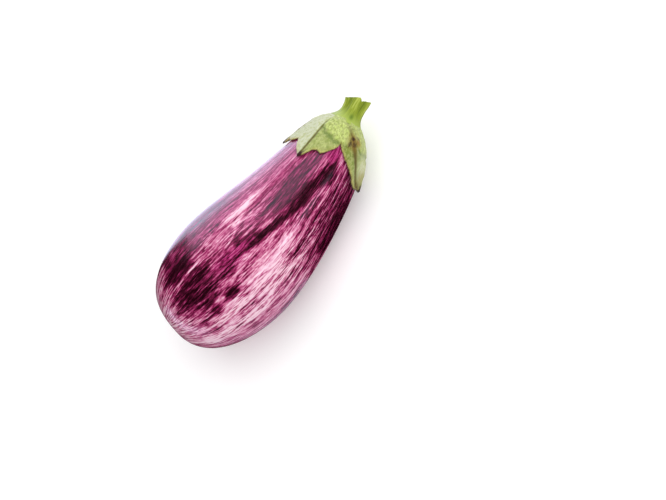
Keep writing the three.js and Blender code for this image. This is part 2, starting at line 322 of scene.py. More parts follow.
def finish_piece(net, name, node, points, material, values):
    """Turns a net with new places for its vertices into a piece that stands for a CAD node, with the
    values that its material reads."""
    for vertex, place in zip(net.verts, points.tolist()):
        vertex.co = place
    bmesh.ops.recalc_face_normals(net, faces=net.faces)
    mesh = bpy.data.meshes.new(name)
    net.to_mesh(mesh)
    net.free()
    for key, numbers in values.items():
        vector = numbers.ndim == 2
        attribute = mesh.attributes.new(key, "FLOAT_VECTOR" if vector else "FLOAT", "POINT")
        attribute.data.foreach_set("vector" if vector else "value", numbers.astype(np.float32).ravel())
    mesh.polygons.foreach_set("use_smooth", [True] * len(mesh.polygons))
    mesh.materials.append(material)
    piece = bpy.data.objects.new(name, mesh)
    bpy.context.scene.collection.objects.link(piece)
    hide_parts(node)
    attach(piece, "root")
    return piece


def new_material(name):
    material = bpy.data.materials.new(name)
    material.use_nodes = True
    material.node_tree.nodes.clear()
    return material, material.node_tree


def add(tree, kind, inputs=None, stops=None, **settings):
    """Adds a node, sets its properties and its ramp's stops, and sets or links its inputs."""
    node = tree.nodes.new(kind)
    for key, value in settings.items():
        setattr(node, key, value)
    for key, value in (inputs or {}).items():
        if isinstance(value, bpy.types.NodeSocket):
            tree.links.new(value, node.inputs[key])
        else:
            node.inputs[key].default_value = value
    if stops:
        elements = node.color_ramp.elements
        while len(elements) < len(stops):
            elements.new(0.5)
        for element, (place, shade) in zip(elements, stops):
            element.position = place
            element.color = shade
    return node


def attributes(tree, names):
    """The outputs of one Attribute node for each of a piece's values."""
    return {name: add(tree, "ShaderNodeAttribute", attribute_name=name).outputs for name in names}


def grain_noise(tree, grain, width_mm, length_mm, **inputs):
    """Noise along a piece's grain, with cells this wide and this long."""
    scale = (1 / (width_mm * MM), 1 / (width_mm * MM), 1 / (length_mm * MM))
    place = add(tree, "ShaderNodeMapping", {"Vector": grain["Vector"], "Scale": scale})
    inputs = {"Vector": place.outputs["Vector"], "Scale": 1.0, **inputs}
    return add(tree, "ShaderNodeTexNoise", inputs).outputs["Fac"]


# One patch of the skin's pattern. turn is in degrees round the fruit, where 0 faces the camera and 90 is
# the inside of the bow, and at is mm from the blossom end. half_turn and half_length are its half sizes,
# and lean is how many degrees it drifts for each mm. tone runs from 0, black plum, to 1, cream, blush is
# how much the patch turns to clear magenta, and contrast is how strongly its flecks stand out.
Patch = namedtuple("Patch", "turn at half_turn half_length lean tone blush contrast", defaults=(1.0,))

SKIN_PATCHES = (
    # the broad grounds of the side that the photograph shows
    Patch(50, 108, 28, 60, 0, 0.47, 0.15, 0.5),
    Patch(66, 60, 18, 40, 0, 0.34, 0.10, 0.4),
    Patch(52, 50, 14, 9, 0, 0.34, 0.15, 0.5),
    Patch(16, 120, 14, 40, 0, 0.28, 0.10, 0.45),
    Patch(22, 75, 8, 26, 0, 0.50, 0.20, 0.9),
    Patch(-38, 55, 26, 50, 0, 0.68, 0.20, 1.2),
    Patch(-64, 48, 12, 42, 0, 0.60, 0.10, 0.8),
    # pale bands
    Patch(-17, 74, 8, 24, -0.05, 0.74, 0, 0.8),
    Patch(-18, 114, 5, 18, 0, 0.34, 0.1, 0.9),
    Patch(-27, 42, 3.5, 26, 0, 0.95, 0, 1.2),
    Patch(-44, 34, 4.5, 24, 0, 0.84, 0, 1.7),
    Patch(-36, 76, 9, 18, 0, 0.84, 0, 1.3),
    Patch(-36, 108, 6, 22, 0, 0.54, 0.15, 1.5),
    Patch(-46, 17, 8, 6, 0, 0.90, 0, 0.9),
    Patch(38.5, 90, 4.5, 20, 0, 0.84, 0, 0.9),
    Patch(30, 80, 3, 10, 0, 0.70, 0, 0.9),
    Patch(38, 56, 5, 7, 0, 0.58, 0.1, 0.8),
    Patch(6.5, 92, 2, 6, 0, 0.74, 0.1, 0.9),
    # dark blocks towards the blossom end
    Patch(16, 31, 11, 20, 0, 0.06, 0.1, 0.8),
    Patch(0, 30, 9, 14, 0, 0.05, 0.2, 0.9),
    Patch(40, 29, 11, 13.5, 0, 0.04, 0.1, 0.5),
    Patch(60, 25.5, 8, 5, 0, 0.16, 0.1, 0.6),
    Patch(-14, 45, 5, 6, 0, 0.12, 0.3, 0.9),
    Patch(-16, 32, 5, 5, 0, 0.24, 0.3, 0.9),
    Patch(-18, 23, 5, 4, 0, 0.32, 0.3, 1.1),
    # a pale fleck line, a rosy patch and a pink fleck among them
    Patch(28, 30, 1.5, 18, 0, 0.66, 0.2, 1.1),
    Patch(34, 28, 2.5, 4, 0, 0.32, 0.6, 0.7),
    Patch(-11, 38, 2.2, 3.5, 0, 0.85, 0.2, 0.8),
    # the dark river that runs from them to the throat, with clear magenta beside it
    Patch(-4, 120, 7.5, 20, -0.1, 0.03, 0.2, 0.6),
    Patch(1, 94, 4.5, 16, -0.2, 0.05, 0.2, 0.7),
    Patch(4.5, 79, 4.5, 10, -0.2, 0.03, 0.3, 0.7),
    Patch(9, 64, 7.5, 16, 0, 0.28, 0.95, 0.9),
    Patch(2, 54, 4, 8, 0, 0.14, 0.4, 0.9),
    Patch(-15, 138, 11, 9, 0, 0.08, 0.3, 0.8),
    Patch(-6, 151, 9, 6, 0, 0.42, 1.0, 0.8),
    # the neck's shaded side: its dark patches are partly the skin's own colour and partly painted shade
    Patch(-42, 130, 12, 20, 0, 0.32, 0.4, 1.3),
    Patch(-38, 136, 2, 14, 0, 0.70, 0.4, 1.1),
    Patch(-72, 118, 20, 30, 0, 0.08, 0.1, 0.7),
    Patch(-52, 114, 7, 26, 0, 0.20, 0.1, 1.0),
    Patch(-30, 118, 2.2, 24, 0, 0.12, 0.2, 0.9),
    Patch(-57, 88, 4, 14, 0, 0.38, 0.2, 0.9),
)
# The side that the photograph doesn't show has like patches, placed by a seeded draw.
HIDDEN_PATCHES = 26
HIDDEN_SEED = 11
HIDDEN_DARK_SHARE = 0.45
HIDDEN_FROM_DEG = 84
HIDDEN_TO_DEG = 272
BASE_TONE = 0.50
BASE_BLUSH = 0.2
BASE_CONTRAST = 0.9
BLOSSOM_TONE = 0.80
BLOSSOM_CONTRAST = 1.3
BLOSSOM_PALE_TO = 11 * MM
# How far the patches' sides wander, how far their ends fray, and how far the blossom end's edge does.
RAGGED_SIDES = 0.35
FRAYED_ENDS = 0.45
FRAYED_BLOSSOM = 0.3

# The pigment lines from broad to fine: each one's width and length in mm, the detail and distortion of its
# noise, and how far it shifts the tone. A pixel of the picture is 0.64 mm, so the finest flecks here are
# about a millimetre.
PIGMENT_LINES = (
    (5.0, 60.0, 2.0, 0.0, 0.6),
    (2.4, 24.0, 2.0, 0.2, 1.0),
    (1.1, 10.0, 3.0, 0.5, 1.7),
    (0.85, 3.5, 2.0, 0.3, 1.0),
)


def hidden_patches():
    draw = random.Random(HIDDEN_SEED)
    patches = []
    for _ in range(HIDDEN_PATCHES):
        dark = draw.random() < HIDDEN_DARK_SHARE
        patches.append(Patch(
            turn=draw.uniform(HIDDEN_FROM_DEG, HIDDEN_TO_DEG),
            at=draw.uniform(22, 150),
            half_turn=draw.uniform(4, 12),
            half_length=draw.uniform(14, 44),
            lean=draw.uniform(-0.2, 0.2),
            tone=draw.uniform(0.06, 0.2) if dark else draw.uniform(0.62, 0.86),
            blush=draw.uniform(0.0, 0.5) if dark else 0.0,
            contrast=draw.uniform(0.6, 1.2),
        ))
    return patches


def skin_pattern(ats, turns, ragged, frayed):
    """Tone, blush and contrast for each vertex. ragged and frayed make the patches' edges uneven."""
    bases = (BASE_TONE, BASE_BLUSH, BASE_CONTRAST)
    tone, blush, contrast = (np.full(len(ats), base) for base in bases)
    degrees = np.degrees(turns)
    for patch in (*SKIN_PATCHES, *hidden_patches()):
        off = degrees - patch.turn - patch.lean * (ats / MM - patch.at)
        off = (off + 180) % 360 - 180
        across = off / patch.half_turn + RAGGED_SIDES * ragged
        along = (ats / MM - patch.at) / patch.half_length + FRAYED_ENDS * frayed
        weight = spike(across**2 + along**2, 1)
        tone += (patch.tone - tone) * weight
        blush += (patch.blush - blush) * weight
        contrast += (patch.contrast - contrast) * weight
    pale = spike(ats * (1 + FRAYED_BLOSSOM * frayed), BLOSSOM_PALE_TO)
    return mix(tone, BLOSSOM_TONE, pale), blush * (1 - pale), mix(contrast, BLOSSOM_CONTRAST, pale)


def skin_material(colours):
    """Ripe eggplant skin: smooth and waxy, so it mirrors the lights softly, over fine lengthwise flecks
    that run from black plum to cream."""
    material, tree = new_material("waxy_striped_skin")
    read = attributes(tree, ("grain", "tone", "blush", "contrast", "scar"))
    # Half of the gains comes off first, so that the lines shift the tone up and down alike.
    value = -sum(line[-1] for line in PIGMENT_LINES) / 2
    for width, length, detail, distortion, gain in PIGMENT_LINES:
        lines = grain_noise(tree, read["grain"], width, length, Detail=detail, Distortion=distortion)
        value = add(tree, "ShaderNodeMath", {
            0: lines, 1: gain, 2: value,
        }, operation="MULTIPLY_ADD").outputs["Value"]
    level = add(tree, "ShaderNodeMath", {
        0: value, 1: read["contrast"]["Fac"], 2: read["tone"]["Fac"],
    }, operation="MULTIPLY_ADD", use_clamp=True)
    usual = add(tree, "ShaderNodeValToRGB", {"Fac": level.outputs["Value"]}, stops=(
        (0.0, colours.black), (0.20, colours.plum), (0.37, colours.magenta), (0.50, colours.rose),
        (0.63, colours.pink), (0.80, colours.blush), (1.0, colours.cream),
    ))
    clear = add(tree, "ShaderNodeValToRGB", {"Fac": level.outputs["Value"]}, stops=(
        (0.0, colour("#22000C")), (0.20, colour("#5A042E")), (0.38, colour("#98125A")),
        (0.58, colour("#B83A7C")), (0.80, colour("#D27AA8")), (1.0, colour("#E2B4CC")),
    ))
    skin = add(tree, "ShaderNodeMix", {
        0: read["blush"]["Fac"], 6: usual.outputs["Color"], 7: clear.outputs["Color"],
    }, data_type="RGBA")
    # The blossom scar is a small tan cork spot.
    corked = add(tree, "ShaderNodeMix", {
        0: read["scar"]["Fac"], 6: skin.outputs[2], 7: colour("#B08A58"),
    }, data_type="RGBA")
    # Faint pores keep the wax from a perfect mirror.
    where = add(tree, "ShaderNodeTexCoord")
    pores = add(tree, "ShaderNodeTexNoise", {
        "Vector": where.outputs["Object"], "Scale": 1 / (1.4 * MM), "Detail": 2.0, "Roughness": 0.5,
    })
    bump = add(tree, "ShaderNodeBump", {
        "Height": pores.outputs["Fac"], "Strength": 0.25, "Distance": 0.06 * MM,
    })
    rough = add(tree, "ShaderNodeMapRange", {"Value": read["scar"]["Fac"], "To Min": 0.25, "To Max": 0.8})
    shader = add(tree, "ShaderNodeBsdfPrincipled", {
        "Base Color": corked.outputs[2], "Roughness": rough.outputs["Result"],
        "Normal": bump.outputs["Normal"], "IOR": 1.46,
        "Coat Weight": 0.15, "Coat Roughness": 0.16, "Coat IOR": 1.45,
    })
    add(tree, "ShaderNodeOutputMaterial", {"Surface": shader.outputs["BSDF"]})
    return material


FRUIT_COLUMNS = 320
FRUIT_ROWS = 296
SCAR_RADIUS = 1.9 * MM


def skin_wave(turn, path, waves, length, shift=0.0):
    """Unevenness with this many waves across the fruit, each this long along it."""
    return wave(np.cos(turn) * waves + shift, np.sin(turn) * waves, path / length)


def make_fruit(settings):
    form = Fruit(settings)
    net, turn, down = sphere_net(FRUIT_COLUMNS, FRUIT_ROWS)
    # Distance along the skin from the blossom end, row by row, so that flecks keep their length there.
    row_at = form.along(np.linspace(0, 1, FRUIT_ROWS + 1))
    row_radius = form.radius(row_at)
    row_path = np.concatenate(([0], np.cumsum(np.hypot(np.diff(row_at), np.diff(row_radius)))))
    row = np.round(down * FRUIT_ROWS).astype(int)
    at, radius, path = row_at[row], row_radius[row], row_path[row]
    swell = skin_wave(turn, path, 1.6, 30 * MM) * smooth(radius / (20 * MM))
    points = form.laid(form.above(down, turn, swell * settings.unevenness))
    points[:, 2] = np.maximum(points[:, 2], CAD_LOW.z)
    # Flecks drift a little from the straight line as they climb.
    drift = 0.05 * skin_wave(turn, path, 2.2, 45 * MM, 7) * smooth(path / (20 * MM))
    belly = settings.belly_radius
    ragged = skin_wave(turn, path, 5, 9 * MM)
    frayed = skin_wave(turn, path, 11, 30 * MM, 3)
    tone, blush, contrast = skin_pattern(at, turn, ragged, frayed)
    # The scar's rim wavers a little.
    rim = 0.3 * skin_wave(turn, 5.0, 3, 1)
    scar = np.where(down < form.BELLY_SHARE, smooth(1.6 - radius / SCAR_RADIUS + rim), 0.0)
    values = {
        "grain": np.stack((belly * np.cos(turn + drift), belly * np.sin(turn + drift), path), -1),
        "tone": tone, "blush": blush, "contrast": contrast, "scar": scar,
    }
    return finish_piece(net, "fruit_skin", "fruit", points, skin_material(settings), values)


# The calyx's edge, tip, notch, tip and so on. root and edge are degrees round the fruit, at the stem and at
# the edge, at is where the edge stands in mm along the fruit, bay is how far the stretch of edge after it
# curves in near the tip, lift is how far a sepal's middle stands off the skin in mm, and keel is how many
# degrees its ridge runs to the side of its middle. pale_low and pale_high say how whitish a sepal is
# painted on either side of its ridge, towards lower and higher turns, as painted light where light falls on
# that side, and fold is how far off the ridge its fold of painted shade is in mm, towards lower turns.
Edge = namedtuple(
    "Edge", "root edge at bay tip lift keel pale_low pale_high fold", defaults=(0, 0, 0, 0, 0)
)

CALYX_EDGE = (
    Edge(42, 33, 135.5, 0, 1, 0.8, 2, 0.08, 0.95, 0.45),
    Edge(75, 61, 146.5, 3, 0),
    Edge(108, 97, 136.5, 1, 1, 0.7, -4, 0.9, 0.7, 0.6),
    Edge(140, 133, 149, 1.5, 0),
    Edge(175, 168, 137, 0.5, 1, 1.4, 3, 0.5, 0.4, 0.8),
    Edge(213, 205, 153, 2, 0),
    Edge(250, 236, 140, 1, 1, 1.2, -3, 0.4, 0.6, 0.6),
    Edge(284, 258, 150, 0.5, 0),
    Edge(322, 289, 138, -3, 1, 3.6, 30, 0.1, 0.0, -1.6),
    Edge(363, 352, 157, 5, 0),
)
# Where a bay is deepest and its half width, as shares of the way from a notch to a tip.
BAY_AT = 0.72
BAY_WIDTH = 0.17
LIFT_POWER = 1.5
RIDGE_POWER = 10
# Where each form starts and is full, as shares of the way from the stem to the edge.
RIDGE_RISES = (0.33, 0.67)
CAP_THINS = (0, 0.77)
SEPAL_LIFTS = (0.28, 0.83)
RAGGED_RISES = (0.5, 1)
RELIEF_RISES = (0.05, 0.3)
CROWN_RISES = (0.02, 0.3)
CREASE_RISES = (0.12, 0.5)
# The crown's edge along the fruit, how far it draws back at each ridge, and how far it wavers, in mm.
CROWN_AT = 157.6
CROWN_DRAWN_BACK = 4.5
CROWN_WAVERS = 0.9
GROOVE_DEPTH = 0.3 * MM
CREASE_DEPTH = 0.35 * MM
# How far apart the side veins are, and how much they slant to the tip.
VEIN_SPACING = 0.5 * MM
VEIN_SLANT = 0.75

# A blotch of colour on the calyx, a stained or dried place or a darker olive one: its turn in degrees, its
# distance along the fruit in mm, its half sizes in degrees and mm, and how strong it is.
Blotch = namedtuple("Blotch", "turn at half_turn half_length strength")

DRY_BLOTCHES = (
    Blotch(-26, 162.4, 4.5, 1.8, 0.8),
    Blotch(-23, 159.5, 5, 2.4, 0.6),
    Blotch(-31, 160.2, 6, 1.8, 0.7),
    Blotch(-37, 164.0, 6, 1.1, 0.6),
    Blotch(-58, 141, 6, 4, 0.5),
)
RUST_BLOTCHES = (
    Blotch(-37, 162, 7, 2.2, 1.0),
    Blotch(-29, 161, 11, 4, 0.75),
    Blotch(-62, 145, 8, 6, 0.4),
)
CREAM_BLOTCHES = (Blotch(-60, 151, 13, 7, 1.0),)
# A darker olive patch over the strip of one sepal.
OLIVE_BLOTCHES = (Blotch(-26, 151, 14, 10, 0.75),)
BLOTCH_RAGGED = 0.5


def edge_stretch(round_share, fullness):
    """Where the calyx's edge is for a share of a turn round it, and what the sepal there is like."""
    count = len(CALYX_EDGE)
    table = {name: np.array([getattr(edge, name) for edge in CALYX_EDGE], float) for name in Edge._fields}
    stretch = round_share * count
    index = np.floor(stretch).astype(int) % count
    share = stretch - np.floor(stretch)
    here = {name: numbers[index] for name, numbers in table.items()}
    after = {name: numbers[(index + 1) % count] for name, numbers in table.items()}
    for name in ("root", "edge"):
        after[name] = after[name] + np.where(index + 1 == count, 360, 0)
    from_tip = here["tip"] > 0
    tip = {name: np.where(from_tip, here[name], after[name]) for name in table}
    notch_at = np.where(from_tip, after["at"], here["at"])
    # 1 on a sepal's middle, 0 in a notch
    rib = np.where(from_tip, 1 - share, share)
    at = mix(notch_at, tip["at"], rib**fullness) + here["bay"] * spike(rib - BAY_AT, BAY_WIDTH)
    root = mix(here["root"], after["root"], share)
    return root, mix(here["edge"], after["edge"], share), at * MM, rib, tip


def ridge_turn(tip, out):
    """The turn in degrees of a sepal's ridge, which meets the sepal's middle at its tip."""
    return mix(tip["root"], tip["edge"], smooth(out)) + tip["keel"] * (1 - out**RIDGE_POWER)


def blotched(blotches, degrees, at, ragged):
    """How stained each place is by the blotches, with ragged sides."""
    stain = np.zeros(len(at))
    for blotch in blotches:
        off = (degrees - blotch.turn + 180) % 360 - 180
        across = off / blotch.half_turn + BLOTCH_RAGGED * ragged
        along = (at / MM - blotch.at) / blotch.half_length
        stain = np.maximum(stain, blotch.strength * spike(np.hypot(across, along), 1))
    return stain


def calyx_shape(form, sizes, round_share, out, top):
    """Points of the calyx, and what its material needs to know there."""
    root, edge, edge_at, rib, tip = edge_stretch(round_share, sizes.fullness)
    circle = 2 * math.pi * round_share
    ragged = wave(np.cos(circle) * 14, np.sin(circle) * 14, 1.7)
    share = mix(1, form.share_of(edge_at + sizes.ragged * ragged * rise(out, *RAGGED_RISES)), out)
    degrees = mix(root, edge, smooth(out))
    turn = np.radians(degrees)
    at = form.along(share)
    radius = form.radius(at)
    past_ridge = np.radians(degrees - ridge_turn(tip, out)) * radius
    from_ridge = np.abs(past_ridge)
    to_edge = (1 - out) * (form.s["length"] - edge_at)
    path = form.s["length"] - at
    x, y = np.cos(turn), np.sin(turn)

    ridge = np.exp(-from_ridge / sizes.keel_half_width) * rise(out, *RIDGE_RISES) * (1 - 0.5 * out)
    thickness = mix(sizes.cap_thickness, sizes.edge_thickness, rise(out, *CAP_THINS))
    thickness += sizes.keel_height * ridge
    low = sizes.skin_gap + tip["lift"] * MM * rib**LIFT_POWER * rise(out, *SEPAL_LIFTS)

    # The crown round the stem swells over the blades of the sepals, and draws back at their ridges.
    drawn_back = CROWN_DRAWN_BACK * np.exp(-from_ridge / (4 * MM))
    crown_at = (CROWN_AT + drawn_back + CROWN_WAVERS * wave(x * 7, y * 7, 2.0)) * MM
    pale_side = np.where(past_ridge < 0, tip["pale_low"], tip["pale_high"])
    crown = rise(at, crown_at - 1.0 * MM, crown_at + 0.9 * MM) * (1 - smooth(pale_side))
    groove = spike(at - crown_at + 1.1 * MM, 1.3 * MM) * rise(out, 0.2, 0.5) * (1 - smooth(pale_side))
    fibre = wave(x * radius / MM, y * radius / MM, path / (4 * MM))
    wrinkle = wave(x * radius / (2.6 * MM), y * radius / (2.6 * MM), path / (6 * MM) + 4)
    # Side veins run from the ridge towards the edge, slanting to the tip.
    vein = np.sin((path * VEIN_SLANT + from_ridge + 0.8 * MM * wrinkle) / VEIN_SPACING)
    vein *= rise(from_ridge, 0.6 * MM, 2 * MM) * (1 - crown)
    relief = sizes.wrinkle_height * (0.6 * fibre + 1.1 * wrinkle + 0.25 * vein) * rise(out, *RELIEF_RISES)
    relief += sizes.crown_height * crown * rise(out, *CROWN_RISES) - GROOVE_DEPTH * groove
    # A crease runs beside each ridge: it dips a little, and its dark colour is painted shade.
    fold = tip["fold"] * MM
    crease = spike(past_ridge + fold, 1.1 * np.abs(fold) + 0.1 * MM) * rise(out, *CREASE_RISES)
    relief -= CREASE_DEPTH * crease
    height = low + np.where(out > 1 - SAME_WITHIN, thickness / 2, np.where(top, thickness + relief, 0.0))
    points = form.laid(form.above(share, turn, np.maximum(height, low)))

    # Painted light: the pale side of each sepal's ridge is painted whitish, as if light falls on it.
    painted_light_whitish = pale_side * rise(from_ridge, 0.1 * MM, 0.9 * MM) * (1 - crown) * rise(out, 0.1, 0.3)
    cream, bruised, olive, rust = (
        blotched(blotches, degrees, at, ragged)
        for blotches in (CREAM_BLOTCHES, DRY_BLOTCHES, OLIVE_BLOTCHES, RUST_BLOTCHES)
    )
    dry_tip = rise(rib, 0.86, 0.98) * rise(out, 0.9, 0.98)
    rim = np.exp(-to_edge / (0.5 * MM))
    values = {
        "grain": np.stack((x * radius, y * radius, path), -1),
        "crown": crown,
        # The pale value joins that painted light with the real cream of the dried blotches.
        "pale": np.maximum(painted_light_whitish, cream),
        # Painted shade along each ridge's crease.
        "crease": crease * rise(out, 0.2, 0.75),
        "groove": np.maximum(groove, olive),
        "rim": rim,
        "dry": np.maximum(np.maximum(dry_tip, 0.7 * rim * (1 - painted_light_whitish)), bruised),
        "rust": rust,
    }
    return points, values


def calyx_material(colours):
    """A fresh calyx: leathery green leaf with a bright crown and fine hairs, whitish with painted light on
    its pale halves, dark olive painted shade along its creases, and dried to brown at its tips."""
    material, tree = new_material("leathery_green_calyx")
    read = attributes(tree, ("grain", "crown", "pale", "crease", "groove", "rim", "dry", "rust"))

    def patchy(width, length, low, high, most):
        """Noise with cells this wide and long in mm, from 0 below low to most above high."""
        cells = grain_noise(tree, read["grain"], width, length, Detail=3.0, Roughness=0.6)
        level = add(tree, "ShaderNodeMapRange", {
            "Value": cells, "From Min": low, "From Max": high, "To Max": most,
        })
        return cells, level.outputs["Result"]

    fine, fibres = patchy(1.0, 3.6, 0.46, 0.60, 0.75)
    _, blotch = patchy(2.6, 3.2, 0.45, 0.60, 0.6)
    grit, specks = patchy(1.4, 2.4, 0.47, 0.60, 0.7)
    # Brown creeps in from the tips, the edges and a few bruises, in uneven flecks.
    uneven = add(tree, "ShaderNodeMath", {0: fine, 1: 1.3, 2: read["dry"]["Fac"]}, operation="MULTIPLY_ADD")
    dried = add(tree, "ShaderNodeMapRange", {
        "Value": uneven.outputs["Value"], "From Min": 0.95, "From Max": 1.45,
    })
    shade = colours.leaf
    for share, over in (
        (read["crown"]["Fac"], colours.crown),
        (blotch, colour("#C4CE80")),
        (fibres, colour("#748030")),
        (read["groove"]["Fac"], colours.olive),
        # painted light on the pale halves, with the real cream of dried places
        (read["pale"]["Fac"], colours.pale),
        (specks, colour("#A2A866")),
        (read["rim"]["Fac"], colour("#B4A25A")),
        # painted shade along the creases
        (read["crease"]["Fac"], colour("#584C1C")),
        (read["rust"]["Fac"], colours.rust),
        (dried.outputs["Result"], colours.dry),
    ):
        shade = add(tree, "ShaderNodeMix", {0: share, 6: shade, 7: over}, data_type="RGBA").outputs[2]
    mixed = add(tree, "ShaderNodeMath", {0: fine, 1: grit}, operation="ADD")
    bump = add(tree, "ShaderNodeBump", {
        "Height": mixed.outputs["Value"], "Strength": 0.6, "Distance": 0.25 * MM,
    })
    shader = add(tree, "ShaderNodeBsdfPrincipled", {
        "Base Color": shade, "Roughness": 0.62, "Normal": bump.outputs["Normal"],
        "IOR": 1.42, "Sheen Weight": 0.25, "Sheen Roughness": 0.4,
    })
    add(tree, "ShaderNodeOutputMaterial", {"Surface": shader.outputs["BSDF"]})
    return material


# The calyx's net: its columns for each stretch of the edge, its rows, and how many of those are on top.
CALYX_COLUMNS = 60
CALYX_ROWS = 110
CALYX_TOP_ROWS = 80


def make_calyx(settings, fruit_settings):
    form = Fruit(fruit_settings)
    net, turn, down = sphere_net(CALYX_COLUMNS * len(CALYX_EDGE), CALYX_ROWS)
    top_share = CALYX_TOP_ROWS / CALYX_ROWS
    top = down <= top_share + SAME_WITHIN
    out = clamp(np.where(top, down / top_share, (1 - down) / (1 - top_share)))
    round_share = (turn / (2 * math.pi)) % 1.0
    points, values = calyx_shape(form, settings, round_share, out, top)
    return finish_piece(net, "calyx_leaf", "calyx", points, calyx_material(settings), values)


# The cut is torn a little: how far it rises over its plane, from the outside of the bow to the inside, mm.
CUT_ACROSS = (-7.4, -3.4, -2.6, -0.6, 1.5, 7.4)
CUT_RISE = (0.9, 0.5, -0.3, 2.1, 1.8, -0.4)
# Painted shade of a small hollow near the stem's foot, which the stem's surface doesn't have: its turn in
# degrees, its share of the stem, its half sizes in mm.
PAINTED_HOLLOW_SHADE = (-9.5, 0.22, 1.3, 1.1)
# The stem's fine ridges: waves round it and along it, a shift, and their strength.
GRAIN_WAVES = ((4.2, 1.3, 0, 1), (11, 2.0, 3, 0.6))
STEM_COLUMNS = 220
STEM_ROWS = 100
# Shares of the net's rows from the middle of the cut to its rim, and to the foot's rim.
CUT_ROW = 0.24
FOOT_ROW = 0.82


def stem_point(form, stem, calyx, up, turn, inward):
    """Points of the stem's side, or of its cut where inward is under 1, and how high its ridges stand."""
    slope = form.bow_slope(form.s["length"])
    foot = form.above(1.0, 0.0, calyx.skin_gap + calyx.cap_thickness)
    along = np.array((1, slope, 0)) / math.hypot(1, slope)
    bent = np.stack((0 * up, stem.bend * up**2, 0 * up), -1)
    middle = foot + along * (stem.length * up)[..., None] + bent
    ribs = np.cos(stem.ribs * turn) * rise(up, 0, 0.25)
    x, y = np.cos(turn), np.sin(turn)
    grain = rise(up, 0.1, 0.4) * sum(
        strength * wave(x * across, y * across, up * along_it + shift)
        for across, along_it, shift, strength in GRAIN_WAVES
    )
    radius = stem.radius + (stem.cut_radius - stem.radius) * rise(up, 0.5, 1)
    radius = (radius + stem.rib_height * ribs + stem.grain_height * grain) * inward
    lean = np.arctan(slope + 2 * stem.bend * up / stem.length)
    high = radius * np.sin(turn)
    torn = np.interp(high / MM, CUT_ACROSS, CUT_RISE) * MM * rise(up, 0.6, 1)
    torn = torn + 0.35 * MM * wave(x * inward * 5, y * inward * 5, 9.0) * rise(up, 0.8, 1)
    risen = torn - stem.slant * high * rise(up, 0.5, 1) - stem.dish * (1 - inward**2)
    offset = np.stack((risen - high * np.sin(lean), high * np.cos(lean), radius * np.cos(turn)), -1)
    return middle + offset, ribs + 0.8 * grain


def stem_foot(form, stem, calyx, turn, inward):
    """The stem's underside, sunk a little into the calyx, as it grows from it."""
    share = mix(1, form.share_of(form.shoulder_at(stem.foot_radius)), inward)
    return form.above(share, turn, calyx.cap_thickness)


def stem_material(colours):
    """A fresh cut stalk: satin bright green, darker in the grooves between its ribs, and pale, moist and
    fibrous on the cut."""
    material, tree = new_material("ribbed_green_stalk")
    read = attributes(tree, ("grain", "ridge", "cut", "foot", "hollow"))
    fibre = grain_noise(tree, read["grain"], 0.9, 8, Detail=3.0)
    high = add(tree, "ShaderNodeMath", {
        0: fibre, 1: 2.4, 2: read["ridge"]["Fac"],
    }, operation="MULTIPLY_ADD")
    level = add(tree, "ShaderNodeMapRange", {
        "Value": high.outputs["Value"], "From Min": 0.6, "From Max": 1.8,
    })
    ribbed = add(tree, "ShaderNodeValToRGB", {"Fac": level.outputs["Result"]}, stops=(
        (0.0, colours.groove), (0.5, colours.green), (1.0, colour("#ABB74C")),
    ))
    footed = add(tree, "ShaderNodeMix", {
        0: read["foot"]["Fac"], 6: ribbed.outputs["Color"], 7: colour("#A0B24E"),
    }, data_type="RGBA")
    ring = add(tree, "ShaderNodeValToRGB", {"Fac": read["cut"]["Fac"]}, stops=(
        (0.0, colour("#A8B84A")), (0.10, colours.flesh), (0.42, colour("#B9BF66")),
        (0.6, colours.flesh), (0.82, colours.pith), (1.0, colour("#6E5A2C")),
    ))
    on_cut = add(tree, "ShaderNodeMapRange", {"Value": read["cut"]["Fac"], "From Max": 0.06})
    whole = add(tree, "ShaderNodeMix", {
        0: on_cut.outputs["Result"], 6: footed.outputs[2], 7: ring.outputs["Color"],
    }, data_type="RGBA")
    # Painted shade: dark green where the stem would have its small hollow.
    shaded = add(tree, "ShaderNodeMix", {
        0: read["hollow"]["Fac"], 6: whole.outputs[2], 7: colour("#4E6D12"),
    }, data_type="RGBA")
    bump = add(tree, "ShaderNodeBump", {
        "Height": fibre, "Strength": 0.5, "Distance": 0.3 * MM,
    })
    shader = add(tree, "ShaderNodeBsdfPrincipled", {
        "Base Color": shaded.outputs[2], "Roughness": 0.5, "Normal": bump.outputs["Normal"],
        "IOR": 1.42,
    })
    add(tree, "ShaderNodeOutputMaterial", {"Surface": shader.outputs["BSDF"]})
    return material


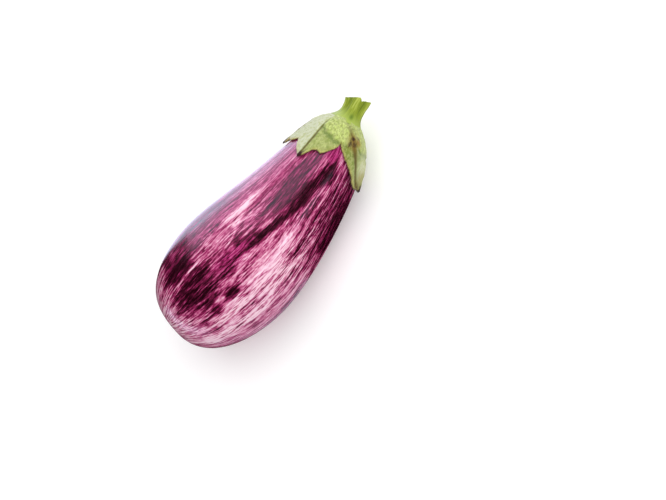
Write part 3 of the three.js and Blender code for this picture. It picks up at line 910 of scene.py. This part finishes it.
def make_stem(settings, calyx_settings, fruit_settings):
    form = Fruit(fruit_settings)
    net, turn, down = sphere_net(STEM_COLUMNS, STEM_ROWS)
    on_cut = down < CUT_ROW
    under = down > FOOT_ROW
    inward = np.where(on_cut, down / CUT_ROW, 1.0)
    up = np.where(on_cut, 1.0, clamp((FOOT_ROW - down) / (FOOT_ROW - CUT_ROW)))
    side, ridge = stem_point(form, settings, calyx_settings, up, turn, inward)
    foot_inward = np.where(under, (1 - down) / (1 - FOOT_ROW), 1.0)
    rim = stem_foot(form, settings, calyx_settings, turn, foot_inward)
    # Near its foot the side follows one curve from the foot's rim to the stalk.
    share = clamp(up / settings.foot_share)[:, None]
    waist, _ = stem_point(form, settings, calyx_settings, 0 * up, turn, inward)
    leg, leg_ridge = stem_point(form, settings, calyx_settings, 0 * up + settings.foot_share, turn, inward)
    curve = rim * (1 - share) ** 2 + waist * 2 * share * (1 - share) + leg * share**2
    near_foot = up < settings.foot_share
    points = np.where(under[:, None], rim, np.where(near_foot[:, None], curve, side))
    ridge = np.where(near_foot, leg_ridge * share[:, 0], ridge)
    # Where the painted shade of that hollow lies.
    hollow_turn, hollow_up, half_width, half_length = PAINTED_HOLLOW_SHADE
    across = (turn - math.radians(hollow_turn)) * settings.radius / (half_width * MM)
    along = (up - hollow_up) * settings.length / (half_length * MM)
    values = {
        "grain": np.stack((
            settings.radius * np.cos(turn), settings.radius * np.sin(turn), settings.length * up,
        ), -1),
        "ridge": 0.35 * ridge,
        "cut": np.where(on_cut, 1 - inward, 0.0),
        "foot": 1 - rise(up, 0.02, 0.4),
        "hollow": 0.8 * spike(np.hypot(across, along), 1),
    }
    return finish_piece(net, "stem_stalk", "stem", form.laid(points), stem_material(settings), values)


FLOOR_HALF_SIDE = 4.0
FLOOR_BELOW = 0.05 * MM
FLOOR_GLOW = 0.1


def floor_material(tint):
    """Matt white acrylic, lit faintly from below so that shadows on it stay light."""
    material, tree = new_material("matt_white_acrylic")
    shader = add(tree, "ShaderNodeBsdfPrincipled", {
        "Base Color": tint, "Roughness": 0.9, "Specular IOR Level": 0.2,
        "Emission Color": tint, "Emission Strength": FLOOR_GLOW,
    })
    add(tree, "ShaderNodeOutputMaterial", {"Surface": shader.outputs["BSDF"]})
    return material


def make_floor(settings):
    net = bmesh.new()
    bmesh.ops.create_grid(net, x_segments=1, y_segments=1, size=FLOOR_HALF_SIDE)
    bmesh.ops.translate(net, verts=net.verts, vec=(0, 0, CAD_LOW.z - FLOOR_BELOW))
    mesh = bpy.data.meshes.new("floor")
    net.to_mesh(mesh)
    net.free()
    mesh.materials.append(floor_material(settings.floor))
    floor = bpy.data.objects.new("floor", mesh)
    floor.visible_glossy = False
    bpy.context.scene.collection.objects.link(floor)


# Each light: where it stands, where its middle points, its sides in metres, how bright its face is (1 is
# the brightness of white paper in full light), whether it lights, and whether the skin mirrors it.
Panel = namedtuple("Panel", "name stands points width height brightness lights mirrored")

PANELS = (
    Panel("ceiling", (0.8, -0.3, 1.5), (0.0, 0.0, 0.0), 3.2, 3.2, 1.55, True, False),
    Panel("wall_softbox", (0.44, 0.80, 0.32), (0.44, 0.0, 0.32), 1.06, 0.86, 2.5, False, True),
    Panel("table_glow", (0.46, 0.63, 0.001), (0.46, 0.63, 1.0), 1.06, 1.14, 2.2, False, True),
    Panel("near_table_glow", (-0.30, -0.38, 0.001), (-0.30, -0.38, 1.0), 0.60, 0.70, 0.45, False, True),
    Panel("end_softbox", (-1.0, 0.0, 0.05), (0.0, 0.0, 0.05), 1.2, 0.24, 3.5, False, True),
    Panel("roof_softbox", (0.52, 0.24, 0.90), (0.05, 0.0, 0.03), 0.84, 0.40, 2.0, False, True),
    Panel("front_softbox", (0.28, -0.86, 0.46), (0.04, 0.0, 0.05), 0.62, 0.14, 3.0, False, True),
)


def make_lights(settings):
    for panel in PANELS:
        light = bpy.data.lights.new(panel.name, "AREA")
        light.shape = "RECTANGLE"
        light.size = panel.width
        light.size_y = panel.height
        light.energy = panel.brightness * math.pi * panel.width * panel.height
        if panel.mirrored:
            light.color = settings.daylight[:3]
        lamp = bpy.data.objects.new(panel.name, light)
        lamp.location = panel.stands
        facing = Vector(panel.points) - Vector(panel.stands)
        lamp.rotation_euler = facing.to_track_quat("-Z", "Y").to_euler()
        lamp.visible_diffuse = panel.lights
        lamp.visible_glossy = panel.mirrored
        lamp.visible_camera = False
        bpy.context.scene.collection.objects.link(lamp)
    world = bpy.data.worlds.new("white_room")
    world.use_nodes = True
    background = world.node_tree.nodes["Background"].inputs
    background["Color"].default_value = colour("#FFFFFF")
    background["Strength"].default_value = settings.room
    world.cycles_visibility.glossy = False
    bpy.context.scene.world = world


def make_camera(settings):
    """A long lens that looks down on the eggplant from where the photograph's camera stood."""
    across, above, roll = settings.azimuth, settings.elevation, settings.roll
    back = Vector((
        math.sin(across) * math.cos(above), -math.cos(across) * math.cos(above), math.sin(above),
    ))
    level = Vector((math.cos(across), math.sin(across), 0))
    upright = back.cross(level)
    right = level * math.cos(roll) - upright * math.sin(roll)
    upward = level * math.sin(roll) + upright * math.cos(roll)
    aim = Vector((0, 0, settings.aim_height))
    stand = aim + back * settings.distance
    centre = aim - right * (settings.aim_x - PICTURE_WIDTH / 2) * settings.pixel
    centre -= upward * (PICTURE_HEIGHT / 2 - settings.aim_y) * settings.pixel
    facing = (stand - centre).normalized()
    right = (right - facing * right.dot(facing)).normalized()
    upward = facing.cross(right)
    camera = bpy.data.cameras.new("camera")
    camera.lens = camera.sensor_width * settings.distance / (PICTURE_WIDTH * settings.pixel)
    eye = bpy.data.objects.new("camera", camera)
    turned = Matrix((right, upward, facing)).transposed().to_4x4()
    eye.matrix_world = Matrix.Translation(stand) @ turned
    bpy.context.scene.collection.objects.link(eye)
    bpy.context.scene.camera = eye


class EGGPLANT_OT_fruit(bpy.types.Operator):
    """Make the fruit with its striped skin"""

    bl_idname = "eggplant.fruit"
    bl_label = "Make Fruit"

    def execute(self, context):
        make_fruit(context.scene.eggplant_fruit)
        return {"FINISHED"}


class EGGPLANT_OT_calyx(bpy.types.Operator):
    """Make the green calyx over the fruit's shoulder"""

    bl_idname = "eggplant.calyx"
    bl_label = "Make Calyx"

    def execute(self, context):
        make_calyx(context.scene.eggplant_calyx, context.scene.eggplant_fruit)
        return {"FINISHED"}


class EGGPLANT_OT_stem(bpy.types.Operator):
    """Make the cut stem"""

    bl_idname = "eggplant.stem"
    bl_label = "Make Stem"

    def execute(self, context):
        scene = context.scene
        make_stem(scene.eggplant_stem, scene.eggplant_calyx, scene.eggplant_fruit)
        return {"FINISHED"}


class EGGPLANT_OT_studio(bpy.types.Operator):
    """Make the floor, the lights and the camera"""

    bl_idname = "eggplant.studio"
    bl_label = "Make Studio"

    def execute(self, context):
        settings = context.scene.eggplant_studio
        make_floor(settings)
        make_lights(settings)
        make_camera(settings)
        context.scene.view_settings.view_transform = "Standard"
        return {"FINISHED"}


class EGGPLANT_PT_panel(bpy.types.Panel):
    """Lists the eggplant's operators and their settings"""

    bl_idname = "EGGPLANT_PT_panel"
    bl_label = "Striped Eggplant"
    bl_space_type = "VIEW_3D"
    bl_region_type = "UI"
    bl_category = "Eggplant"

    def draw(self, context):
        for operator, settings in zip(OPERATORS, SETTINGS):
            box = self.layout.box()
            box.operator(operator.bl_idname)
            group = getattr(context.scene, settings)
            for name in group.__annotations__:
                box.prop(group, name)


OPERATORS = (EGGPLANT_OT_fruit, EGGPLANT_OT_calyx, EGGPLANT_OT_stem, EGGPLANT_OT_studio)
SETTINGS = {
    "eggplant_fruit": FruitSettings,
    "eggplant_calyx": CalyxSettings,
    "eggplant_stem": StemSettings,
    "eggplant_studio": StudioSettings,
}
CLASSES = (*SETTINGS.values(), *OPERATORS, EGGPLANT_PT_panel)


def register():
    for kind in CLASSES:
        bpy.utils.register_class(kind)
    for name, kind in SETTINGS.items():
        setattr(bpy.types.Scene, name, bpy.props.PointerProperty(type=kind))


def unregister():
    for name in SETTINGS:
        delattr(bpy.types.Scene, name)
    for kind in reversed(CLASSES):
        bpy.utils.unregister_class(kind)


def main():
    register()
    bpy.ops.eggplant.studio()
    bpy.ops.eggplant.fruit()
    bpy.ops.eggplant.calyx()
    bpy.ops.eggplant.stem()


if __name__ == "__main__":
    main()
